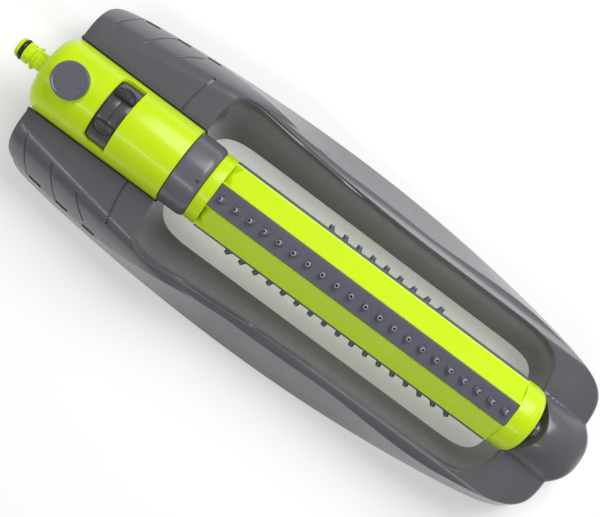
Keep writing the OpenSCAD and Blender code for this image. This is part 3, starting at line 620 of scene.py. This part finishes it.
def barrel():
    """The barrel: a closed outline (x, r) turned about the axis, with a rounded rear shoulder, a cone
    that fairs in the hose nipple, and a hollow that is open in front."""
    a = np.linspace(0, np.pi / 2, 14)[1:]
    outer = np.column_stack([BARREL_REAR + SHOULDER_R * (1 - np.cos(a)),
                             BARREL_R - SHOULDER_R + SHOULDER_R * np.sin(a)])
    inner = np.column_stack([BARREL_REAR + 2.4 + (SHOULDER_R - 2) * (1 - np.cos(a)),
                             BORE_R - (SHOULDER_R - 2) * (1 - np.sin(a))])[::-1]
    lip = 0.5
    outline = np.vstack([
        [(BARREL_REAR + 2.4, 9.0), (BARREL_REAR - 3.4, 9.0), (BARREL_REAR - 3.4, 9.4),
         (BARREL_REAR - 2.5, 10.0), (BARREL_REAR - 1.3, 11.4), (BARREL_REAR - 0.4, 13.6),
         (BARREL_REAR, 16.4)],
        outer, [(BARREL_FRONT - lip, BARREL_R), (BARREL_FRONT - 0.15, BARREL_R - 0.15),
                (BARREL_FRONT, BARREL_R - lip), (BARREL_FRONT, BORE_R)],
        inner])
    return revolve(outline, 200)


WINDOW_HALF_X = 17.4 / 2
WINDOW_HALF_ARC = math.radians(59) * BARREL_R


def window_cutter():
    """The range window's cutter, swept round the axis: each side's half width in x falls along a
    circle of its corner's radius near both ends, and the section flares out at the barrel's face."""
    corners, flare, edge = (5.4, 1.6), 0.6, 0.5
    rounds = np.sin(np.linspace(0.08, 0.995, 12) * np.pi / 2)
    near = [WINDOW_HALF_ARC - c * (1 - rounds) for c in corners]
    arc = np.unique(np.concatenate([np.linspace(0, WINDOW_HALF_ARC - max(corners), 40), *near]))
    arc = np.concatenate([-arc[:0:-1], arc])
    over = [np.maximum(0, np.abs(arc) - (WINDOW_HALF_ARC - c)) for c in corners]
    back, fore = [WINDOW_HALF_X - c + np.sqrt(np.maximum(c ** 2 - o ** 2, 0.01))
                  for c, o in zip(corners, over)]
    rear, front = WINDOW_X - back, WINDOW_X + fore
    x = np.column_stack([rear, front, front, front + flare, rear - flare, rear])
    inside, face, above = BORE_R - 3, BARREL_R - edge, BARREL_R + 0.4
    r = np.broadcast_to([inside, inside, face, above, above, face], x.shape)
    stretch = 1 + flare / WINDOW_HALF_ARC
    return angle_sweep(arc * stretch / BARREL_R, np.stack([x, r], -1))


STEM_HOLE_R = 5.06
housing = make_piece("barrel_shell", *on_axis(barrel()))
stem_hole = revolve([(0, 0), (0, STEM_HOLE_R), (60, STEM_HOLE_R), (60, 0)], 48)
carve(housing, [on_axis(window_cutter()), upright(stem_hole, KNOB_X, z=AXIS_Z + 5)])
dress(housing, "lime_shell", "base", "barrel_housing")

boss_top = knob_low[2] - 0.3 - AXIS_Z
boss_foot = BARREL_R - 4.5
boss = revolve(soften([(boss_foot, STEM_HOLE_R), (boss_top, STEM_HOLE_R), (boss_top, 13.6),
                       (BARREL_R - 1.2, 13.8), (boss_foot, 14.2)], [0, 0.1, 0.5, 1.0, 0], 4), 128)
dress(make_piece("knob_boss", *upright(boss, KNOB_X, z=AXIS_Z)), "lime_shell", "base")


# ---- hose inlet ----------------------------------------------------------------
def nipple():
    """The hose nipple: a turned outline with the O-ring's groove, the latch groove and a flange."""
    x0, x1 = nipple_low[0], nipple_high[0]
    rear = BARREL_REAR
    outline = [(x0, 5.8), (x0, 6.6), (x0 + 0.7, 7.3), (x0 + 2.6, 7.3), (x0 + 2.6, 5.2), (x0 + 6, 5.2),
               (x0 + 6, 7.45), (x0 + 6.4, 7.75), (x0 + 10.2, 7.75), (x0 + 11, 6.4), (x0 + 12.8, 6.4),
               (x0 + 13.4, 8.7), (x0 + 15, 8.7), (x0 + 15.6, 6.9), (rear - 3.6, 6.9), (rear - 3.3, 8.9),
               (x1, 8.95), (x1, 5.0), (x0 + 2, 5.0), (x0 + 2, 5.8)]
    return revolve(soften(outline, 0.35, 3), 96)


def web(angle):
    """One of the four ribs between the nipple's flange and the barrel, a small block along X."""
    x0 = nipple_low[0] + 15
    points, faces = prism(soften([(-0.9, 6.2), (0.9, 6.2), (0.9, 7.7), (-0.9, 7.7)], 0.25, 2), x0,
                          BARREL_REAR - 3)
    return turned(points, angle), faces


inlet = stack(nipple(), *[web(a) for a in np.radians([45, 135, 225, 315])])
dress(make_piece("hose_nipple", *on_axis(inlet)), "lime_shell", "base", "inlet_nipple")

seal_x = (seal_low[0] + seal_high[0]) / 2
SEAL_R, SEAL_WIRE_R = 6.55, 1.35
wire = np.linspace(0, 2 * np.pi, 25)[:-1]
seal_section = np.column_stack([seal_x + SEAL_WIRE_R * np.cos(wire), SEAL_R + SEAL_WIRE_R * np.sin(wire)])
dress(make_piece("nipple_seal", *on_axis(revolve(seal_section, 96))), "black_rubber", "base", "inlet_o_ring")


# ---- flow knob -----------------------------------------------------------------
def knob():
    """The flow knob: a turned disc with a rounded rim, a shallow dished top and a step under it."""
    h = knob_high[2] - knob_low[2]
    outline = soften([(0, 5.0), (0, KNOB_R - 0.7), (0.8, KNOB_R), (h - 1.3, KNOB_R - 0.1),
                      (h, KNOB_R - 1.3), (h - 0.6, KNOB_R - 2.1), (h - 0.5, 0.01), (3, 0.01), (3, 5.0)],
                     [0.1, 0.3, 0.4, 0.6, 0.3, 0.3, 0, 0, 0.1], 5)
    return upright(revolve(outline, 128), KNOB_X, z=knob_low[2])


def marks():
    """Generic raised marks on the knob: a pointer bar and a ring of dots that grow in size."""
    h = knob_high[2] - 0.6
    ring_r = 8.6
    points, faces = prism(soften([(-0.45, 0), (0.45, 0), (0.45, 0.55), (-0.45, 0.55)], 0.1, 2), 7.4, 10.2)
    parts = [(moved(points, x=KNOB_X, z=h), faces)]
    for i in range(7):
        a = math.radians(75 + 30 * i)
        dot_r = 0.34 + 0.06 * i
        dot = revolve(soften([(0, 0.01), (0, dot_r), (0.5, dot_r), (0.5, 0.01)], 0.1, 2), 20)
        parts.append(upright(dot, KNOB_X + ring_r * math.cos(a), ring_r * math.sin(a), h))
    return stack(*parts)


dress(make_piece("knob_disc", *stack(knob(), marks())), "grey_trim", "flow_valve", "flow_knob")


# ---- range rings -----------------------------------------------------------------
RING_IN = BORE_R - 3.1
RING_MID = BORE_R - 1.8
RING_OUT = BORE_R - 0.3
PAD_TOP = BARREL_R + 2.6


def band(x0, x1, r_in, r_out, a0, a1, radius, steps=60):
    """A slice of a ring round the X axis: a rounded rectangle (x, r) carried from angle a0 to a1."""
    section = soften([(x0, r_in), (x1, r_in), (x1, r_out), (x0, r_out)], radius, 3)
    closed = abs(a1 - a0) >= 360
    angles = np.radians(np.linspace(a0, a1, steps))
    return angle_sweep(angles[:-1] if closed else angles, section, closed)


def thumb_pad(x0, x1, angle, out):
    """The thumb pad, straight on one side and half an ellipse on the other in plan. It rises over the
    ring as a plateau that high powers of u and v bring down at its edges, and ribs along x stand on
    it, the upper halves of five cosine waves."""
    u = np.linspace(-1, 1, 41)
    v = np.linspace(0, 1, 81)
    uu, vv = np.meshgrid(u, v, indexing="ij")
    mid, half = (x0 + x1) / 2, (x1 - x0) / 2
    straight = -4.6 * out
    bulge = out * (9.6 * np.sqrt(np.clip(1 - 0.93 * uu ** 2, 0, 1)))
    arc = straight + bulge * vv
    rise = 0.55 * (PAD_TOP - RING_OUT) * (1 - np.abs(uu) ** 8) * (1 - vv ** 6) ** 0.7
    ribs = 0.85 * np.maximum(0, np.cos(np.clip(vv, 0, 0.84) / 0.84 * 5 * 2 * np.pi)) ** 1.5
    r = RING_OUT - 0.1 + rise + ribs * (1 - np.abs(uu) ** 6) * (vv < 0.88)
    a = math.radians(angle) + arc / BARREL_R
    top = np.stack([mid + half * uu, r * np.sin(a), r * np.cos(a)], -1)
    low = RING_OUT - 0.6
    under = np.stack([mid + half * uu, low * np.sin(a), low * np.cos(a)], -1)
    rows, columns = uu.shape
    count = rows * columns
    index = np.arange(count).reshape(rows, columns)
    border = np.concatenate([index[0], index[1:, -1], index[-1, -2::-1], index[-2:0:-1, 0]])
    ahead = np.roll(border, -1)
    quads = grid_faces(rows, columns)
    wall = np.column_stack([border, ahead, ahead + count, border + count])
    return (np.concatenate([top.reshape(-1, 3), under.reshape(-1, 3)]),
            np.vstack([quads, quads[:, ::-1] + count, wall]))


def range_ring(side, angle):
    """A range ring: its own half-width ring, a cover over both rings beyond the pad, a web that joins
    the two, and the pad."""
    x0, x1 = WINDOW_X - WINDOW_HALF_X + 0.6, WINDOW_X + WINDOW_HALF_X - 0.6
    own = (x0, WINDOW_X - 0.15) if side < 0 else (WINDOW_X + 0.15, x1)
    out = 1 if angle > 0 else -1
    far = angle + out * 80
    near = angle - out * 2
    parts = [band(*own, RING_IN, RING_MID, 0, 360, 0.3, 181),
             band(x0, x1, RING_MID + 0.3, RING_OUT, min(near, far), max(near, far), 0.3),
             band(own[0] + 0.2, own[1] - 0.2, RING_MID - 0.5, RING_OUT - 0.4,
                  min(near, far) + 1, max(near, far) - 1, 0.1),
             thumb_pad(x0 + 0.2, x1 - 0.2, angle, out)]
    return stack(*parts)


for name, node, side, angle, body in (("rear_slider", "rear_range_ring", -1, 35, "rear_ring"),
                                      ("front_slider", "front_range_ring", 1, -28, "front_ring")):
    dress(make_piece(name, *on_axis(range_ring(side, angle))), "dark_gloss", body, node)


# ---- collar -----------------------------------------------------------------------
def collar():
    """The collar: a turned outline with a soft front lip."""
    x0, x1 = collar_low[0], collar_high[0]
    outline = soften([(x0, 8.2), (x0, COLLAR_R - 0.9), (x0 + 0.9, COLLAR_R), (x1 - 4.2, COLLAR_R),
                      (x1 - 2.6, COLLAR_R - 0.35), (x1, COLLAR_R - 1.5), (x1, 14.1), (x1 - 6.4, 14.1),
                      (x1 - 6.4, 8.2)], [0.2, 0.5, 0.7, 1.2, 0.9, 0.5, 0.2, 0.1, 0.1], 4)
    return revolve(outline, 160)


def index_notch():
    """The cutter of the collar's index mark: an arrow head that points back along the bar."""
    x1 = collar_high[0]
    arrow = np.array([(x1 - 5.6, 0), (x1 - 2.6, 1.5), (x1 - 2.6, -1.5)])
    mark = np.vstack([np.column_stack([arrow, np.full(3, COLLAR_R + h)]) for h in (-1.5, 1.0)])
    faces = [(0, 1, 2), (3, 4, 5), (0, 1, 4, 3), (1, 2, 5, 4), (2, 0, 3, 5)]
    return on_axis((mark, faces), REST_TURN)


ring = make_piece("collar_ring", *on_axis(collar(), REST_TURN))
dress(carve(ring, [index_notch()]), "grey_trim", "swing_drive", "collar")


# ---- spray bar -----------------------------------------------------------------------
SEAT_R = 25.0
PROUD = 2.0
FACET_R = SEAT_R - 0.3
STRIP_W = 18.0
FLANGE_R = SEAT_R + PROUD
LIP = 1.1
SPIGOT_LEN = 6
NOZZLE_PITCH = 12
LEAN_PER_MM = 0.3      # degrees
x_rear, x_far = BAR_MID - BAR_HALF, BAR_MID + BAR_HALF


def drum_outline():
    """The drum's section: a strip seat, a narrow lip and a flat facet, four times round."""
    half = STRIP_W / 2 + 0.12
    seat, lip_top = SEAT_R - 1.4, SEAT_R + 0.65
    facet_edge = math.sqrt(2) * FACET_R - half - LIP
    right = [(half, seat), (half, lip_top), (half + LIP - 0.2, SEAT_R + 0.55), (half + LIP, facet_edge)]
    quarter = np.array([(-y, z) for y, z in right[::-1]] + right)
    rings = []
    for k in range(4):
        c, s = math.cos(-k * math.pi / 2), math.sin(-k * math.pi / 2)
        rings.append(np.column_stack([c * quarter[:, 0] - s * quarter[:, 1],
                                      s * quarter[:, 0] + c * quarter[:, 1]]))
    return soften(np.vstack(rings), 0.22, 2)


def corner_pocket(side, turn):
    """A wedge that is cut out of a facet where it meets the flange, deepest beside the strip: a solid
    of five points, one along the strip and two at each end of the flange's edge."""
    y0 = side * (STRIP_W / 2 + LIP + 0.15)
    y1 = side * 22.8
    z0 = math.sqrt(2) * FACET_R - abs(y0)
    z1 = math.sqrt(2) * FACET_R - abs(y1)
    points = np.array([(x_rear, y0, z0 + 3), (x_rear, y0, z0 - 4.4), (x_rear, y1, z1 + 0.4),
                       (x_rear + 7.5, y0, z0 + 1.0), (x_rear, y1, z1 + 3)])
    faces = [(0, 1, 2, 4), (0, 3, 1), (1, 3, 2), (2, 3, 4), (0, 4, 3)]
    return turned(points, turn), faces


bar = make_piece("spray_bar_body", *prism(drum_outline(), x_rear - 0.5, x_far + 0.5), smooth_deg=25)
pockets = [corner_pocket(side, k * math.pi / 2) for side in (-1, 1) for k in range(4)]
carve(bar, pockets, smooth_deg=25)
bar.data.transform(Matrix.Translation((0, 0, AXIS_Z * MM)) @ Matrix.Rotation(REST_TURN, 4, "X"))
dress(bar, "lime_shell", "spray_bar", "drum_body")


def flange():
    """The bar's rear flange: a turned disc with round edges, in front of the drum's spigot."""
    x0 = drum_low[0] + SPIGOT_LEN
    outline = soften([(x0, 14), (x0, FLANGE_R - 0.7), (x0 + 0.7, FLANGE_R), (x_rear - 0.5, FLANGE_R),
                      (x_rear, FLANGE_R - 0.5), (x_rear, 14)], [0, 0.4, 0.4, 0.4, 0.3, 0], 4)
    return revolve(outline, 160)


dress(make_piece("spray_bar_flange", *on_axis(flange(), REST_TURN)), "lime_shell", "spray_bar")


def nozzle(lean, x, floor):
    """One nozzle: a low foot ring and a tapered stub, turned about its own line, with a stepped hole.
    It leans outward about its foot."""
    outline = soften([(-0.6, 2.75), (0.3, 2.7), (0.6, 2.3), (3.3, 1.95), (4.0, 1.35), (4.0, 0.95),
                      (-0.3, 0.85), (-0.3, 0.01), (-0.6, 0.01)],
                     [0, 0.2, 0.2, 0.3, 0.2, 0.12, 0.1, 0, 0], 3)
    p, faces = upright(revolve(outline, 28))
    c, s = math.cos(lean), math.sin(lean)
    p = np.column_stack([p[:, 0] * c + p[:, 2] * s, p[:, 1], -p[:, 0] * s + p[:, 2] * c])
    return moved(p, x=x, z=floor), faces


def nozzle_strip(count):
    """A strip on top of the bar: a plate with round corners and a soft upper edge, and a row of
    nozzles that lean outward in step with their distance from the middle."""
    half = np.array([BAR_HALF, STRIP_W / 2])
    plan = soften(half * [(-1, -1), (1, -1), (1, 1), (-1, 1)], 2.2, 6)
    low, high, edge = SEAT_R - 1.3, SEAT_R + PROUD, 0.5
    a = np.linspace(0.3, 1, 4) * np.pi / 2
    insets = [0, 0, *edge * (1 - np.cos(a))]
    heights = [low, high - edge, *high - edge + edge * np.sin(a)]
    rings = [np.column_stack([plan * (1 - inset / half), np.full(len(plan), z)])
             for inset, z in zip(insets, heights)]
    plate = (moved(np.vstack(rings), x=BAR_MID), tube_faces(len(rings), len(plan)))
    from_middle = NOZZLE_PITCH * (np.arange(count) - (count - 1) / 2)
    return stack(plate, *[nozzle(math.radians(LEAN_PER_MM * x), BAR_MID + x, high) for x in from_middle])


for name, node, count, turn in (("top_row", "top_nozzle_strip", 21, 0),
                                ("right_row", "right_nozzle_strip", 17, 90),
                                ("under_row", "under_nozzle_strip", 13, 180),
                                ("left_row", "left_nozzle_strip", 9, 270)):
    points, faces = on_axis(nozzle_strip(count), REST_TURN + math.radians(turn))
    dress(make_piece(name, points, faces, 40), "nozzle_grey", "spray_bar", node)


def end_cap():
    """The far cap: a turned outline with a fine step round it and a rounded shoulder."""
    x0, x1 = cap_low[0], cap_high[0]
    step = mix(x0, x1, 0.62)
    outline = soften([(x0, 5), (x0, CAP_R), (step, CAP_R), (step + 0.25, CAP_R - 0.45),
                      (x1 - 3.2, CAP_R - 0.6), (x1 - 0.6, CAP_R - 2.2), (x1, CAP_R - 3.8), (x1, 5)],
                     [0, 0.35, 0.2, 0.2, 2.2, 1.4, 0.8, 0.2], 5)
    return revolve(outline, 160)


dress(make_piece("far_cap", *on_axis(end_cap(), REST_TURN)), "lime_shell", "spray_bar", "end_cap")


# ---- camera, light and floor ------------------------------------------------------
scene = bpy.context.scene
LOOK_AT = np.array([BAR_MID - 53.35, -2.06, AXIS_Z])
DISTANCE = 699.1
TILT_X, TILT_Y, ROLL = math.radians(3.668), math.radians(2.199), math.radians(36.721)
sight = np.array([math.sin(TILT_X), math.sin(TILT_Y), 0])
sight[2] = -math.sqrt(1 - sight @ sight)
across = np.array([1, 0, 0]) - sight * sight[0]
across /= np.linalg.norm(across)
upward = np.cross(across, sight)
right = across * math.cos(ROLL) + upward * math.sin(ROLL)
up = -across * math.sin(ROLL) + upward * math.cos(ROLL)
place = (LOOK_AT - sight * DISTANCE) * MM
lens = bpy.data.cameras.new("camera")
lens.lens = 59.748
lens.sensor_width = 36
lens.clip_end = 20
camera = bpy.data.objects.new("camera", lens)
camera.matrix_world = Matrix([[right[i], up[i], -sight[i], place[i]] for i in range(3)] + [[0, 0, 0, 1]])
scene.collection.objects.link(camera)
scene.camera = camera

FLOOR_HALF = 3
FLOOR_Z = -0.0002
floor_mesh = bpy.data.meshes.new("floor")
floor_corners = [(FLOOR_HALF * x, FLOOR_HALF * y, FLOOR_Z) for x, y in ((-1, -1), (1, -1), (1, 1), (-1, 1))]
floor_mesh.from_pydata(floor_corners, [], [(0, 1, 2, 3)])
floor = bpy.data.objects.new("floor", floor_mesh)
pale = bpy.data.materials.new("pale_floor")
pale.use_nodes = True
for socket, value in (("Base Color", (0.82, 0.82, 0.82, 1)), ("Roughness", 0.9),
                      ("Emission Color", (1, 1, 1, 1)), ("Emission Strength", 0.26)):
    pale.node_tree.nodes["Principled BSDF"].inputs[socket].default_value = value
floor_mesh.materials.append(pale)
scene.collection.objects.link(floor)


def softbox(name, place, size, power):
    """An area light that looks at the middle of the object."""
    data = bpy.data.lights.new(name, "AREA")
    data.shape = "RECTANGLE"
    data.size, data.size_y = size
    data.energy = power
    light = bpy.data.objects.new(name, data)
    light.location = place
    light.rotation_euler = (Vector((0, 0, 0.05)) - Vector(place)).to_track_quat("-Z", "Y").to_euler()
    scene.collection.objects.link(light)


softbox("key_light", (0.25, 0.85, 0.95), (0.9, 0.9), 14.5)
softbox("top_strip", (-0.1, -0.58, 0.85), (1.6, 0.08), 3)
softbox("fill_light", (-0.9, -0.6, 0.7), (0.8, 0.8), 0.6)

world = bpy.data.worlds.new("studio")
world.use_nodes = True
background = world.node_tree.nodes["Background"]
background.inputs["Color"].default_value = (1, 1, 1, 1)
background.inputs["Strength"].default_value = 0.25
scene.world = world
scene.view_settings.view_transform = "Standard"
